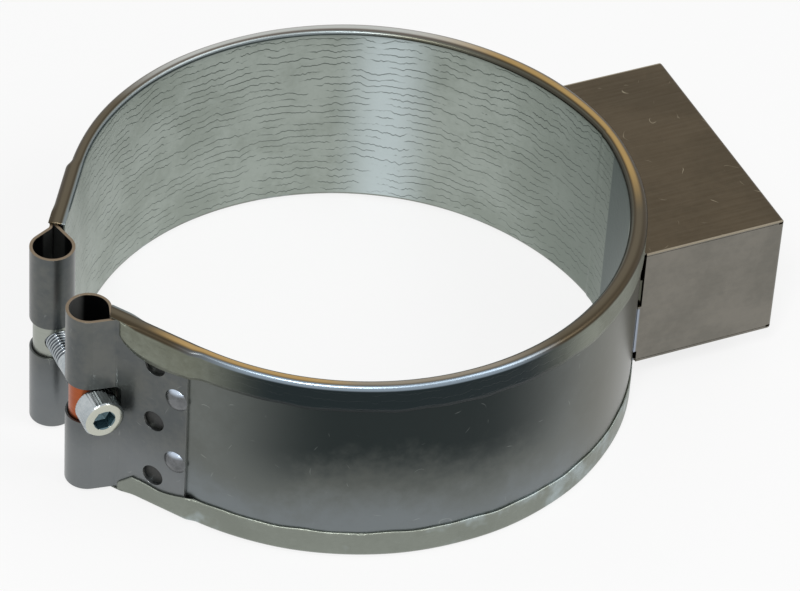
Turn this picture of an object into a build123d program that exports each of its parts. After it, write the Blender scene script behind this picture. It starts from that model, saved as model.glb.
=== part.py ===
from build123d import *
from collections import namedtuple
from math import asin, cos, degrees, radians, sin, sqrt, tan
import os

# Mica band heater that clamps round a barrel, in millimetres.
# The origin is on the bore's axis at the bottom rim, +Z is up, the terminal
# box points to +X and the clamped gap is at -X.

# Band
bore_radius = 85.0
band_height = 68.4
ridge_radius = 86.4         # the wall is drawn out to a faint upright ridge behind the box
ridge_angle = 2.0
ridge_reach = 35.0          # angle from the box's middle where the wall is round again
head_round_end = 214.2      # angles where the round stops and a flat end runs to the gap
nut_round_end = 148.4
head_flat_length = 32.2
nut_flat_length = 30.4
head_rim_length = 29.4      # the folded rims' outer edges, a little slanted at the head's end
nut_rim_length = 30.4

# Layers, from the bore outwards
sheath_thickness = 0.6
mica_thickness = 0.7
core_thickness = 0.7
ribbon_thickness = 0.15
inner_mica_out = sheath_thickness
inner_strands_out = inner_mica_out + mica_thickness
core_out = inner_strands_out + ribbon_thickness
outer_strands_out = core_out + core_thickness
outer_mica_out = outer_strands_out + ribbon_thickness
outer_sheath_out = outer_mica_out + mica_thickness
band_out = outer_sheath_out + sheath_thickness
layer_margin = 0.1          # the layers stop this far inside the bends of the folded rims
mica_setback = 2.0          # and this far short of the band's ends

# The outer sheath's half towards the terminal box is centred this far from the
# bore's axis, which leaves a thin crescent for the terminal pad
cover_shift = 1.7
pad_angle = 55.0            # angle on each side of the box's middle that the pad fills

# Hems: the inner sheath's rims, folded outwards over everything else
hem_height = 9.7
rim_bend = 1.7              # outside radius of the rims' two bends
hem_step_start = -2.5       # the hem steps up over the strap between these two places
hem_step_end = 1.5
hem_step_down = 0.8

# Straps and lugs
strap_thickness = 1.0
strap_start = 1.8
strap_clearance = 0.1       # between the strap's edges and the folded rims
loop_radius = 6.0
butt_gap = 0.1
head_loop_along = 37.14
head_loop_out = 5.0
head_leg_angle = 46.4
head_return_angle = 51.4
head_window_start = 25.4
head_window_height = 13.6
head_window_end = -86.0     # angle round the loop where the window stops
nut_loop_along = 40.65
nut_loop_out = 1.88
nut_leg_angle = 33.0
nut_return_angle = 44.25
nut_window_start = 30.2
nut_window_height = 12.0
nut_window_end = -86.0
window_floor = 2.0          # the window takes the return leg's tip down to here
strap_bend_radius = 1.2
strap_hole_radius = 3.6
strap_hole_along = 13.4
strap_hole_pitch = 22.0

# Rivets
rivet_along = 5.5
rivet_pitch = 25.0
rivet_radius = 2.0
rivet_head_radius = 3.9
rivet_head_height = 1.7
rivet_tail_radius = 3.0
rivet_tail_clearance = 0.3

# Clamp screw, M8, and its two barrel nuts
screw_radius = 4.0
screw_length = 45.0
screw_head_radius = 6.5
screw_head_height = 8.0
screw_head_edge = 0.6
screw_tip_edge = 1.0
hex_width = 6.0
hex_depth = 4.0
running_clearance = 0.05
trunnion_length = 26.0
trunnion_edge = 0.5
head_trunnion_hole_radius = 4.5
screw_notch = 2.2           # the outer sheath's end is cut back this far under the screw's head

# Terminal box
box_face = 128.8
box_length = 86.6
box_height = 43.9
box_bottom = 11.7
box_wall = 0.8
box_bend_radius = 1.2
box_clearance = 0.3         # between the box's curved edges and the sheath
end_wall_gap = 1.5          # between the end walls' inner edges and the sheath
seam_gap = 0.15
corner_notch = 1.6

# Hooks: a tab on each end wall turned under a bridge pressed in the sheath
bridge_bottom = 14.5
bridge_top = 44.0
bridge_mouth_top = 36.0
bridge_rise = 1.15
bridge_offset = 4.2         # from the end wall's outer face to the bridge's middle
bridge_width = 5.6
bridge_edge = 0.5
mouth_reach = 5.0           # from the bridge's middle to the slot's outer lip
tab_clearance = 0.1
tab_bottom = 16.0
tab_top = 34.5
tab_reach = 1.4             # how far the tab's tip passes the bridge's middle
tab_root = 4.3              # where the tab meets the end wall's tongue
tongue_reach = 1.2

# Winding: a flat ribbon wound on the core in two halves
turns_per_side = 16
winding_from = 16.0
winding_to = 139.0
ribbon_width = 4.0
core_margin = 4.0
core_to = 142.0
link_gap = 1.0
link_width = 1.6

# Terminals, M5
terminal_share = 0.31       # share of the box's half length at which the terminals stand
stud_radius = 2.5
stud_reach = 21.0
stud_head_radius = 4.5
stud_head_thickness = 0.8
stud_head_seat = 0.15
stud_edge = 0.5
bush_radius = 7.0
bush_flange = 3.0
bush_neck_radius = 4.8
fit_clearance = 0.1
washer_radius = 5.0
washer_thickness = 1.0
nut_width = 8.0
nut_height = 4.0

# Earth stud, M4
earth_share = 0.66
earth_radius = 2.0
earth_reach = 13.0
earth_collar_radius = 3.5
earth_collar = 1.2
earth_washer_radius = 4.5
earth_washer_thickness = 0.8
earth_nut_width = 7.0
earth_nut_height = 3.2

# Cable gland, M16, in the far end wall
gland_x = 106.0
gland_z = 29.0
gland_thread_radius = 8.0
gland_hex_width = 19.0
gland_hex_height = 4.5
gland_thread_inside = 8.0
gland_cap_radius = 9.2
gland_cap_height = 7.5
cable_radius = 4.5
lock_nut_width = 20.0
lock_nut_height = 3.5

mid_height = band_height / 2
strap_height = band_height - 2 * (sheath_thickness + strap_clearance)
strap_out = band_out + strap_thickness
hem_out = band_out + sheath_thickness
layer_bottom = rim_bend + layer_margin
layer_top = band_height - layer_bottom
core_bottom = sheath_thickness + core_margin
core_top = band_height - core_bottom
cover_radius = bore_radius + band_out
box_mid = box_bottom + box_height / 2
box_half = box_length / 2
end_wall_inner = cover_shift + sqrt(cover_radius ** 2 - box_half ** 2) + end_wall_gap
bridge_angle = degrees(asin((box_half - bridge_offset) / cover_radius))
terminal_angle = degrees(asin(terminal_share * box_half / cover_radius))
earth_angle = degrees(asin(earth_share * box_half / cover_radius))
trunnion_radius = loop_radius - running_clearance

os.makedirs("parts", exist_ok=True)

End = namedtuple("End", "angle turn flat rim along out leg back window window_height window_end")
head_end = End(
    head_round_end, -1, head_flat_length, head_rim_length, head_loop_along, head_loop_out,
    head_leg_angle, head_return_angle, head_window_start, head_window_height, head_window_end,
)
nut_end = End(
    nut_round_end, 1, nut_flat_length, nut_rim_length, nut_loop_along, nut_loop_out,
    nut_leg_angle, nut_return_angle, nut_window_start, nut_window_height, nut_window_end,
)


def polar(radius, angle):
    """A point in plan from its distance and angle about the bore's axis."""
    return Vector(radius * cos(radians(angle)), radius * sin(radians(angle)))


def plan_frame(end):
    """Frame of a flat end at mid height: x runs to the gap, y away from the bore."""
    towards_gap = polar(1, end.angle + 90 * end.turn)
    origin = polar(bore_radius, end.angle) + Vector(0, 0, mid_height)
    return Plane(origin=origin, x_dir=towards_gap, z_dir=(0, 0, -end.turn))


def side_frame(end):
    """Frame on a flat end's bore face at mid height: x runs to the gap, y is up or down."""
    frame = plan_frame(end)
    return Plane(origin=frame.origin, x_dir=frame.x_dir, z_dir=frame.y_dir)


def flat_point(end, along, out):
    """A point in plan on a flat end, from its distances along it and out from the bore."""
    towards_gap = polar(1, end.angle + 90 * end.turn)
    return polar(bore_radius + out, end.angle) + towards_gap * along


def loop_point(end, radius, angle):
    """A point round a lug's loop, in the flat end's own frame."""
    return Vector(end.along, end.out) + polar(radius, angle)


def leg_bend(end, radius, out):
    """Where one face of the lug's outer leg starts to rise from the strap."""
    touch = loop_point(end, radius, 90 + end.leg)
    return Vector(touch.X - (touch.Y - out) / tan(radians(end.leg)), out)


def return_tip(end, radius):
    """Where one face of the return leg stops under the strap or the outer leg."""
    touch = loop_point(end, radius, 270 - end.back)
    run = Vector(-cos(radians(end.back)), sin(radians(end.back)))
    under_strap = (band_out - butt_gap - touch.Y) / sin(radians(end.back))
    leg_normal = polar(1, 90 + end.leg)
    reach = loop_radius - butt_gap - (touch - Vector(end.along, end.out)).dot(leg_normal)
    under_leg = reach / sin(radians(end.leg + end.back))
    return touch + run * max(under_strap, under_leg)


def end_reach(end, out):
    """How far a layer runs along its flat end: cut square, or slanted along the return leg."""
    touch = loop_point(end, loop_radius + strap_thickness, 270 - end.back)
    slanted = touch.X - (out - touch.Y) / tan(radians(end.back)) - butt_gap
    return min(end.flat, slanted)


def ridge_arc(out, side):
    """Centre distance and radius of the arc from the round wall to the ridge on one side."""
    wall = bore_radius + out
    ridge = ridge_radius + out
    spread = radians(ridge_reach - side * ridge_angle)
    centre = (ridge ** 2 - wall ** 2) / (2 * (ridge * cos(spread) - wall))
    return centre, wall - centre


def wall_radius(angle, out):
    """Distance from the bore's axis to the ridged stretch of wall."""
    side = 1 if angle > ridge_angle else -1
    centre, radius = ridge_arc(out, side)
    turn = radians(ridge_reach - side * angle)
    return centre * cos(turn) + sqrt(radius ** 2 - (centre * sin(turn)) ** 2)


def band_line(out, setback=0.0):
    """Draws the band in plan at a distance outside the bore, and returns its two ends."""
    radius = bore_radius + out
    head_tip = flat_point(head_end, end_reach(head_end, out) - setback, out)
    nut_tip = flat_point(nut_end, end_reach(nut_end, out) - setback, out)
    ridge = polar(ridge_radius + out, ridge_angle)
    Line(head_tip, polar(radius, head_round_end))
    CenterArc((0, 0), radius, head_round_end, 360 - ridge_reach - head_round_end)
    TangentArc(polar(radius, -ridge_reach), ridge, tangent=polar(1, 90 - ridge_reach))
    TangentArc(polar(radius, ridge_reach), ridge, tangent=polar(1, ridge_reach - 90))
    CenterArc((0, 0), radius, ridge_reach, nut_round_end - ridge_reach)
    Line(polar(radius, nut_round_end), nut_tip)
    return head_tip, nut_tip


def cover_arc(out, head_from, nut_to):
    """Draws the outer sheath's plan between two angles, with its box half shifted."""
    radius = bore_radius + out
    CenterArc((0, 0), radius, head_from, 270 - head_from)
    Line((0, -radius), (cover_shift, -radius))
    CenterArc((cover_shift, 0), radius, -90, 180)
    Line((cover_shift, radius), (0, radius))
    CenterArc((0, 0), radius, 90, nut_to - 90)


def cover_line(out):
    """Draws the outer sheath in plan at a distance outside the bore, and returns its ends."""
    radius = bore_radius + out
    head_tip = flat_point(head_end, end_reach(head_end, out), out)
    nut_tip = flat_point(nut_end, end_reach(nut_end, out), out)
    Line(head_tip, polar(radius, head_round_end))
    cover_arc(out, head_round_end, nut_round_end)
    Line(polar(radius, nut_round_end), nut_tip)
    return head_tip, nut_tip


def step_angle(end, out):
    """Angle on the round where the hem starts to step up over the strap."""
    return end.angle + end.turn * degrees(hem_step_start / (bore_radius + out))


def hem_stop(end):
    """Where the hem over the strap ends, short of the lug's bend and of the rim's end."""
    lug_bend = leg_bend(end, loop_radius + strap_thickness, strap_out).X - strap_bend_radius
    return min(lug_bend, end.rim - 2 * hem_step_down)


def hem_line(out, beyond=0.0):
    """Draws the hem's plan, lifted over both straps, and returns its ends."""
    tips = []
    for end in (head_end, nut_end):
        start = step_angle(end, out)
        lifted = flat_point(end, hem_step_end, out + strap_thickness)
        tip = flat_point(end, hem_stop(end) + beyond, out + strap_thickness)
        tangents = (polar(1, start + 90 * end.turn), polar(1, end.angle + 90 * end.turn))
        Spline(polar(bore_radius + out, start), lifted, tangents=tangents)
        Line(lifted, tip)
        tips.append(tip)
    cover_arc(out, step_angle(head_end, out), step_angle(nut_end, out))
    return tips


def between(height, inner_line, outer_line):
    """A plan profile between two lines that run from the head's end to the nut's."""
    with BuildSketch(Plane.XY.offset(height)) as profile:
        with BuildLine():
            inner_head, inner_nut = inner_line()
            outer_head, outer_nut = outer_line()
            Line(inner_head, outer_head)
            Line(inner_nut, outer_nut)
        make_face()
    return profile.sketch


def layer(height, inner, outer, setback=0.0):
    """Plan profile of a layer that follows the band between two distances from the bore."""
    return between(height, lambda: band_line(inner, setback), lambda: band_line(outer, setback))


def radial_plane(radius, angle, height, centre=0.0):
    """A plane that faces away from the bore's axis, or from a centre shifted towards the box."""
    origin = polar(radius, angle) + Vector(centre, 0, height)
    return Plane(origin=origin, x_dir=polar(1, angle + 90), z_dir=polar(1, angle))


def cover_plane(radius, angle, height=mid_height):
    """A plane that faces away from the centre of the outer sheath's box half."""
    return radial_plane(radius, angle, height, cover_shift)


def save(piece, name):
    """Labels a finished piece and writes it to its own file."""
    piece.part.label = name
    export_step(piece.part, f"parts/{name}.step")


# Over the straps the hems' free edges wander, and are mitred towards the gap.
# The edges are given by distances along the flat end and heights above or
# below the rim that they are folded from.
bottom_hem_edge = ((-3.0, 9.7), (1.0, 9.6), (5.5, 8.3), (10.5, 7.4), (16.0, 7.9), (20.8, 8.0))
top_hem_edge = ((-3.0, 10.2), (4.0, 11.1), (10.5, 11.8), (17.0, 11.3), (21.5, 9.8), (24.3, 8.0))
bottom_mitre_end = 29.5
top_mitre_end = 29.9
trim_reach = 6.0            # how far the cuts that trim the hems run past them
trim_depth = 0.3            # and how far they reach into the hollow under them
hollow_beyond = 1.0         # how far the rims' hollow is cut past the band's ends


def side_sign(end):
    """Plus one where the side frame's y points up."""
    return 1 if side_frame(end).y_dir.Z > 0 else -1


def rim_form(inset, beyond=0.0):
    """The band's whole form, its four long edges bent round, set in by a wall's thickness."""
    with BuildPart() as form:
        plan = between(
            inset, lambda: band_line(inset, -beyond), lambda: hem_line(hem_out - inset, beyond)
        )
        extrude(plan, amount=band_height - 2 * inset)
        for level in (inset, band_height - inset):
            around = form.edges().filter_by_position(Axis.Z, level - layer_margin, level + layer_margin)
            for end in (head_end, nut_end):
                bore_tip = flat_point(end, end_reach(end, inset) + beyond, inset)
                hem_tip = flat_point(end, hem_stop(end) + beyond, hem_out - inset + strap_thickness)
                cut = around.sort_by_distance((bore_tip + hem_tip) / 2 + Vector(0, 0, level))[0]
                around.remove(cut)
            fillet(around, radius=rim_bend - inset)
    return form.part


def strap_trim(end):
    """What is cut from the hems over one strap: everything between their free edges."""
    sign = side_sign(end)
    stop = hem_stop(end)
    with BuildPart() as cut:
        with BuildSketch(side_frame(end).offset(band_out - trim_depth)):
            with BuildLine():
                starts = []
                tips = []
                for edge, mitre_end, rim in (
                    (bottom_hem_edge, bottom_mitre_end, -sign * mid_height),
                    (top_hem_edge, top_mitre_end, sign * mid_height),
                ):
                    up = 1 if rim < 0 else -1
                    free = [(along, rim + up * height) for along, height in edge]
                    mitre_along, mitre_height = edge[-1]
                    share = (mitre_end - stop) / (mitre_end - mitre_along)
                    start = (free[0][0] - 1, free[0][1])
                    tip = (stop + trim_reach, rim + up * sheath_thickness)
                    Line(start, free[0])
                    Spline(*free)
                    Polyline(
                        free[-1],
                        (stop, rim + up * mitre_height * share),
                        (stop, rim + up * sheath_thickness),
                        tip,
                    )
                    starts.append(start)
                    tips.append(tip)
                Line(*starts)
                Line(*tips)
            make_face()
        extrude(amount=trim_reach)
    return cut.part


def ring_trim():
    """What is cut from the hems between the two straps."""
    with BuildPart() as cut:
        with BuildSketch(Plane.XY.offset(hem_height)):
            with BuildLine():
                outs = (band_out - trim_depth, hem_out + trim_depth)
                for out in outs:
                    cover_arc(out, step_angle(head_end, band_out), step_angle(nut_end, band_out))
                for end in (head_end, nut_end):
                    Line(*(polar(bore_radius + out, step_angle(end, band_out)) for out in outs))
            make_face()
        extrude(amount=band_height - 2 * hem_height)
    return cut.part


# Inner sheath: the bore's wall, with both rims bent outwards and folded down as
# hems; the last stretch of each rim, past the hem, is pressed flat
with BuildPart() as inner_sheath:
    add(rim_form(0))
    add(rim_form(sheath_thickness, hollow_beyond), mode=Mode.SUBTRACT)
    add([ring_trim(), strap_trim(head_end), strap_trim(nut_end)], mode=Mode.SUBTRACT)
    for height in (0, band_height - sheath_thickness):
        for end in (head_end, nut_end):
            with BuildSketch(Plane.XY.offset(height)):
                with BuildLine():
                    stop = hem_stop(end)
                    Polyline(
                        flat_point(end, stop, 0),
                        flat_point(end, end_reach(end, 0), 0),
                        flat_point(end, end.rim, hem_out),
                        flat_point(end, stop, hem_out),
                        close=True,
                    )
                make_face()
            extrude(amount=sheath_thickness)
save(inner_sheath, "inner_sheath")

# Inner mica: insulates the winding from the bore
with BuildPart() as inner_mica:
    extrude(
        layer(layer_bottom, inner_mica_out, inner_strands_out, mica_setback),
        amount=layer_top - layer_bottom,
    )
save(inner_mica, "inner_mica")


def winding_sector(height, inner, outer):
    """Plan profile of a layer cut to the winding's reach on both sides of the box."""
    with BuildSketch(Plane.XY.offset(height)) as profile:
        add(layer(0, inner, outer))
        with BuildLine():
            far = 2 * bore_radius
            Polyline((0, 0), polar(far, core_to), polar(far, -core_to), close=True)
        make_face(mode=Mode.SUBTRACT)
    return profile.sketch


# Winding core: the mica strip that carries the ribbon
with BuildPart() as winding_core:
    extrude(winding_sector(core_bottom, core_out, outer_strands_out), amount=core_top - core_bottom)
save(winding_core, "winding_core")

# Resistance ribbon: upright strands inside the core, slanted ones outside it,
# joined over the core's edges; the two halves meet through a link along the top
pitch = (winding_to - winding_from) / (turns_per_side - 1)
ribbon_bottom = core_bottom - ribbon_thickness
ribbon_height = core_top - core_bottom + 2 * ribbon_thickness
turn_angles = [winding_from + i * pitch for i in range(turns_per_side)]
strand_reach = 2 * (band_out + ridge_radius - bore_radius)


def strand_planes(angles):
    """Planes on the winding for a list of angles, the same on both sides of the box."""
    return [radial_plane(bore_radius, side * angle, mid_height) for side in (1, -1) for angle in angles]


with BuildPart() as inner_strands:
    with BuildSketch(*strand_planes(turn_angles)):
        Rectangle(ribbon_width, ribbon_height)
    extrude(amount=strand_reach, both=True)
    extrude(
        layer(ribbon_bottom, inner_strands_out, core_out),
        amount=ribbon_height,
        mode=Mode.INTERSECT,
    )

lead_height = ribbon_width / 2 + ribbon_height / 2
link_bottom = core_top + link_gap
link_top = link_bottom + link_width
with BuildPart() as outer_strands:
    for side in (1, -1):
        middles = [side * (angle + pitch / 2) for angle in turn_angles[:-1]]
        with BuildSketch(*(radial_plane(bore_radius, angle, mid_height) for angle in middles)):
            half = (bore_radius + outer_strands_out) * tan(radians(pitch / 2)) * side
            with BuildLine():
                Polyline(
                    (-half - ribbon_width / 2, ribbon_height / 2),
                    (-half + ribbon_width / 2, ribbon_height / 2),
                    (half + ribbon_width / 2, -ribbon_height / 2),
                    (half - ribbon_width / 2, -ribbon_height / 2),
                    close=True,
                )
            make_face()
        extrude(amount=strand_reach, both=True)
        # Lead from the first turn's foot up to mid height and across to the stud
        with BuildSketch(radial_plane(bore_radius, side * winding_from, ribbon_bottom)):
            with Locations((0, lead_height / 2)):
                Rectangle(ribbon_width, lead_height)
        extrude(amount=strand_reach, both=True)
        lead_angle = side * (winding_from + terminal_angle) / 2
        lead_length = bore_radius * radians(winding_from - terminal_angle) + ribbon_width
        with BuildSketch(radial_plane(bore_radius, lead_angle, mid_height)):
            Rectangle(lead_length, ribbon_width)
        extrude(amount=strand_reach, both=True)
        # Riser from the last turn to the link
        with BuildSketch(radial_plane(bore_radius, side * winding_to, core_top)):
            with Locations((0, (link_top - core_top) / 2)):
                Rectangle(ribbon_width, link_top - core_top)
        extrude(amount=strand_reach, both=True)
    extrude(
        layer(ribbon_bottom, outer_strands_out, outer_mica_out),
        amount=link_top - ribbon_bottom,
        mode=Mode.INTERSECT,
    )

with BuildPart() as turn_edges:
    with BuildSketch(*strand_planes(turn_angles)):
        for half in (1, -1):
            with Locations((0, half * (ribbon_height - ribbon_thickness) / 2)):
                Rectangle(ribbon_width, ribbon_thickness)
    extrude(amount=strand_reach, both=True)
    extrude(
        layer(ribbon_bottom, inner_strands_out, outer_mica_out),
        amount=ribbon_height,
        mode=Mode.INTERSECT,
    )

with BuildPart() as resistance_ribbon:
    add(inner_strands.part)
    add(outer_strands.part)
    add(turn_edges.part)
    with BuildSketch(Plane.XY.offset(link_bottom)):
        add(layer(0, outer_strands_out, outer_mica_out))
        with BuildLine():
            Polyline((0, 0), polar(2 * bore_radius, winding_to), polar(2 * bore_radius, -winding_to), close=True)
        make_face(mode=Mode.SUBTRACT)
    extrude(amount=link_width)
save(resistance_ribbon, "resistance_ribbon")


def terminal_planes(reach):
    """Planes of the two terminals, at a distance from the centre of the sheath's box half."""
    return [cover_plane(reach, side * terminal_angle) for side in (1, -1)]


def head_seat(side):
    """Distance from that centre to the underside of one terminal stud's head."""
    shift = cover_shift * cos(radians(terminal_angle))
    return wall_radius(side * terminal_angle, outer_mica_out) - shift + stud_head_seat


# Outer mica: insulates the winding from the outer sheath, with windows for
# the studs' heads and the rivets' tails
rivet_points = [(rivet_along, half * rivet_pitch / 2) for half in (1, -1)]
with BuildPart() as outer_mica:
    extrude(
        layer(layer_bottom, outer_mica_out, outer_sheath_out, mica_setback),
        amount=layer_top - layer_bottom,
    )
    with BuildSketch(*terminal_planes(bore_radius)):
        Circle(stud_head_radius + fit_clearance)
    extrude(amount=strand_reach, mode=Mode.SUBTRACT)
    for end in (head_end, nut_end):
        with BuildSketch(side_frame(end)):
            with Locations(*rivet_points):
                Circle(rivet_tail_radius + rivet_tail_clearance)
        extrude(amount=strand_reach, both=True, mode=Mode.SUBTRACT)
save(outer_mica, "outer_mica")

# Terminal pad: more mica behind the terminals, between the ridged wall and
# the raised sheath
pad_face = cover_radius - sheath_thickness
with BuildPart() as terminal_pad:
    with BuildSketch(Plane.XY.offset(layer_bottom)):
        with Locations((cover_shift, 0)):
            Circle(pad_face)
        with BuildLine():
            far = 2 * bore_radius
            Polyline((0, 0), polar(far, -pad_angle), (far, 0), polar(far, pad_angle), close=True)
        make_face(mode=Mode.INTERSECT)
        with BuildLine():
            Line(*band_line(outer_sheath_out))
        make_face(mode=Mode.SUBTRACT)
    extrude(amount=layer_top - layer_bottom)
    for side in (1, -1):
        head_out = head_seat(side) + stud_head_thickness + fit_clearance
        with BuildSketch(cover_plane(bore_radius - cover_shift, side * terminal_angle)):
            Circle(stud_head_radius + fit_clearance)
        extrude(amount=head_out - bore_radius + cover_shift, mode=Mode.SUBTRACT)
        with BuildSketch(cover_plane(bore_radius, side * terminal_angle)):
            Circle(stud_radius + fit_clearance)
        extrude(amount=strand_reach, mode=Mode.SUBTRACT)
    with BuildSketch(cover_plane(bore_radius, earth_angle)):
        Circle(earth_collar_radius + fit_clearance)
    extrude(amount=strand_reach, mode=Mode.SUBTRACT)
save(terminal_pad, "terminal_pad")


def hook_block(side, near, far, start, stop, low, high):
    """A block on the raised sheath beside an end wall, measured from the bridge's middle."""
    with BuildPart() as block:
        with BuildSketch(cover_plane(near, side * bridge_angle, 0)):
            with Locations((side * (start + stop) / 2, (low + high) / 2)):
                Rectangle(stop - start, high - low)
        extrude(amount=far - near)
    return block.part


bridge_half = bridge_width / 2
bridge_top_radius = cover_radius + bridge_rise


def bridge_block(side):
    """The outer form of a bridge pressed out of the outer sheath, with soft edges."""
    root = cover_radius - sheath_thickness / 2
    with BuildPart() as pressed:
        add(hook_block(side, root, bridge_top_radius, -bridge_half, bridge_half, bridge_bottom, bridge_top))
        crown = pressed.faces().sort_by_distance((0, 0, (bridge_bottom + bridge_top) / 2))[-1]
        fillet(crown.edges(), radius=bridge_edge)
    return pressed.part


def bridge_hollow(side):
    """The space under a bridge and the slot that opens it towards the end wall."""
    reach = (pad_face - fit_clearance, bridge_top_radius - sheath_thickness)
    inner_wall = sheath_thickness - bridge_half
    low = bridge_bottom + sheath_thickness
    high = bridge_top - sheath_thickness
    with BuildPart() as space:
        add(hook_block(side, *reach, inner_wall, -inner_wall, low, high))
        add(hook_block(side, *reach, inner_wall, mouth_reach, low, bridge_mouth_top))
    return space.part


# Outer sheath: its ends run along the lugs' return legs, and it carries the
# straps' rivets, the pressed bridges for the box's tabs, and the terminals
with BuildPart() as outer_sheath:
    cover = between(
        layer_bottom, lambda: cover_line(outer_sheath_out), lambda: cover_line(band_out)
    )
    extrude(cover, amount=layer_top - layer_bottom)
    add([bridge_block(1), bridge_block(-1)])
    add([bridge_hollow(1), bridge_hollow(-1)], mode=Mode.SUBTRACT)
    with BuildSketch(*terminal_planes(bore_radius)):
        Circle(bush_neck_radius + fit_clearance)
    extrude(amount=strand_reach, mode=Mode.SUBTRACT)
    with BuildSketch(cover_plane(bore_radius, earth_angle)):
        Circle(earth_radius)
    extrude(amount=strand_reach, mode=Mode.SUBTRACT)
    for end in (head_end, nut_end):
        with BuildSketch(side_frame(end)):
            with Locations(*rivet_points):
                Circle(rivet_radius)
            with Locations(*((strap_hole_along, i * strap_hole_pitch) for i in (-1, 0, 1))):
                Circle(strap_hole_radius)
        extrude(amount=strand_reach, both=True, mode=Mode.SUBTRACT)
    notch_start = end_reach(head_end, band_out) - screw_notch
    with BuildSketch(plan_frame(head_end).offset(-head_window_height / 2)):
        with Locations((notch_start + strap_thickness * 2, band_out)):
            Rectangle(strap_thickness * 4, 2 * sheath_thickness)
    extrude(amount=head_window_height, mode=Mode.SUBTRACT)
save(outer_sheath, "outer_sheath")


def lug(end):
    """A strap on a flat end, folded back on itself in a loop for a barrel nut."""
    outer_radius = loop_radius + strap_thickness
    up = 90 + end.leg
    down = 270 - end.back
    half_window = end.window_height / 2
    plan = plan_frame(end)
    with BuildPart() as strap:
        with BuildSketch(plan.offset(-strap_height / 2)) as section:
            with BuildLine():
                inner_start = Vector(strap_start, band_out)
                outer_start = Vector(strap_start, strap_out)
                for start, radius, out in (
                    (inner_start, loop_radius, band_out),
                    (outer_start, outer_radius, strap_out),
                ):
                    bend = leg_bend(end, radius, out)
                    Polyline(start, bend, loop_point(end, radius, up))
                    CenterArc((end.along, end.out), radius, down - 360, up + 360 - down)
                    Line(loop_point(end, radius, down), return_tip(end, radius))
                Line(inner_start, outer_start)
                Line(return_tip(end, loop_radius), return_tip(end, outer_radius))
            make_face()
            outer_bend = leg_bend(end, outer_radius, strap_out)
            inner_bend = leg_bend(end, loop_radius, band_out)
            fillet(section.vertices().sort_by_distance(outer_bend)[0], strap_bend_radius)
            fillet(
                section.vertices().sort_by_distance(inner_bend)[0],
                strap_bend_radius + strap_thickness,
            )
        extrude(amount=strap_height)
        # Narrower where the hems' bends lie over it
        with BuildSketch(side_frame(end)):
            for half in (1, -1):
                with Locations((hem_stop(end) / 2, half * (mid_height - layer_bottom / 2))):
                    Rectangle(hem_stop(end), layer_bottom)
        extrude(amount=strap_out + trim_depth, mode=Mode.SUBTRACT)
        # Window for the screw, from the strap right round the loop
        with BuildSketch(plan.offset(-half_window)):
            with BuildLine():
                beyond = 2 * outer_radius
                corner = loop_point(end, beyond, end.window_end)
                Polyline(
                    (end.window, window_floor),
                    (end.along - loop_radius, window_floor),
                    (end.along, end.out),
                    corner,
                    (end.along + beyond, corner.Y),
                    (end.along + beyond, end.out + beyond),
                    (end.window, end.out + beyond),
                    close=True,
                )
            make_face()
        extrude(amount=end.window_height, mode=Mode.SUBTRACT)
        with BuildSketch(side_frame(end)):
            with Locations(*rivet_points):
                Circle(rivet_radius)
            with Locations(*((strap_hole_along, i * strap_hole_pitch) for i in (-1, 0, 1))):
                Circle(strap_hole_radius)
        extrude(amount=strap_out + strap_thickness, mode=Mode.SUBTRACT)
    return strap


def rivets(end):
    """Domed rivets that hold one strap to the outer sheath."""
    face = side_frame(end)
    with BuildPart() as pair:
        with BuildSketch(face.offset(outer_mica_out)):
            with Locations(*rivet_points):
                Circle(rivet_tail_radius)
        extrude(amount=mica_thickness)
        with BuildSketch(face.offset(outer_mica_out)):
            with Locations(*rivet_points):
                Circle(rivet_radius)
        extrude(amount=strap_out - outer_mica_out)
        dome_radius = (rivet_head_radius ** 2 + rivet_head_height ** 2) / (2 * rivet_head_height)
        dome_turn = degrees(asin(rivet_head_radius / dome_radius))
        for point in rivet_points:
            seat = face.offset(strap_out).from_local_coords(point)
            upright = Plane(origin=seat, x_dir=face.x_dir, z_dir=-face.y_dir)
            with BuildSketch(upright):
                with BuildLine():
                    Line((0, 0), (rivet_head_radius, 0))
                    centre = (0, rivet_head_height - dome_radius)
                    CenterArc(centre, dome_radius, 90 - dome_turn, dome_turn)
                    Line((0, rivet_head_height), (0, 0))
                make_face()
            revolve(axis=Axis(seat, face.z_dir))
    return pair


for name, end in (("head", head_end), ("nut", nut_end)):
    save(lug(end), f"{name}_lug")
    save(rivets(end), f"{name}_lug_rivets")

# Barrel nuts: the head's has a plain hole, the nut's is threaded for the screw
head_centre = flat_point(head_end, head_end.along, head_end.out)
nut_centre = flat_point(nut_end, nut_end.along, nut_end.out)
screw_line = (nut_centre - head_centre).normalized()


def trunnion(centre, hole_radius):
    """A barrel nut that stands in its loop, drilled across for the screw."""
    with BuildPart() as barrel:
        with BuildSketch(Plane.XY.offset(mid_height - trunnion_length / 2)):
            with Locations(centre):
                Circle(trunnion_radius)
        extrude(amount=trunnion_length)
        rims = barrel.edges().filter_by(GeomType.CIRCLE)
        chamfer(rims, length=trunnion_edge)
        with BuildSketch(Plane(origin=centre + Vector(0, 0, mid_height), z_dir=screw_line)):
            Circle(hole_radius)
        extrude(amount=2 * trunnion_radius, both=True, mode=Mode.SUBTRACT)
    return barrel


head_trunnion = trunnion(head_centre, head_trunnion_hole_radius)
save(head_trunnion, "head_trunnion")
nut_trunnion = trunnion(nut_centre, screw_radius + running_clearance)
save(nut_trunnion, "nut_trunnion")

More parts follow.
